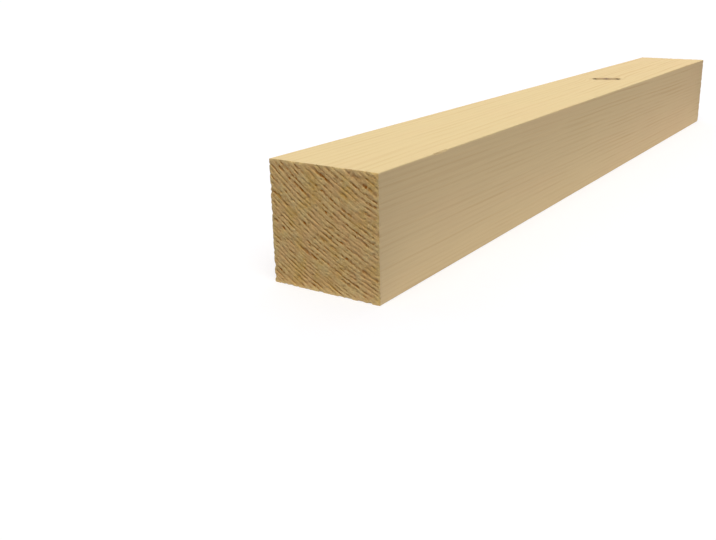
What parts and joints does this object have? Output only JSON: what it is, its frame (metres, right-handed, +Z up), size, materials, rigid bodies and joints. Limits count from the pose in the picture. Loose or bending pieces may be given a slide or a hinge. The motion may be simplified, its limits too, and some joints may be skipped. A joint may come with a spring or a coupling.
{
  "type": "squared timber",
  "caption": "Short sawn length of square-section softwood timber with lightly eased arrises, square cross-cut ends, a torn arris and a dead knot in the top face.",
  "frame": {"origin": "centre of the underside, on the floor that the timber lies on", "axes": "+X along the length from the front end to the back end, +Y to the left seen from the front end, +Z up"},
  "size_m": [0.57, 0.06, 0.06],
  "materials": {
    "softwood": "planed long faces, rough sawn end grain, untreated"
  },
  "bodies": {
    "root": {"timber": "softwood"}
  },
  "joints": []
}
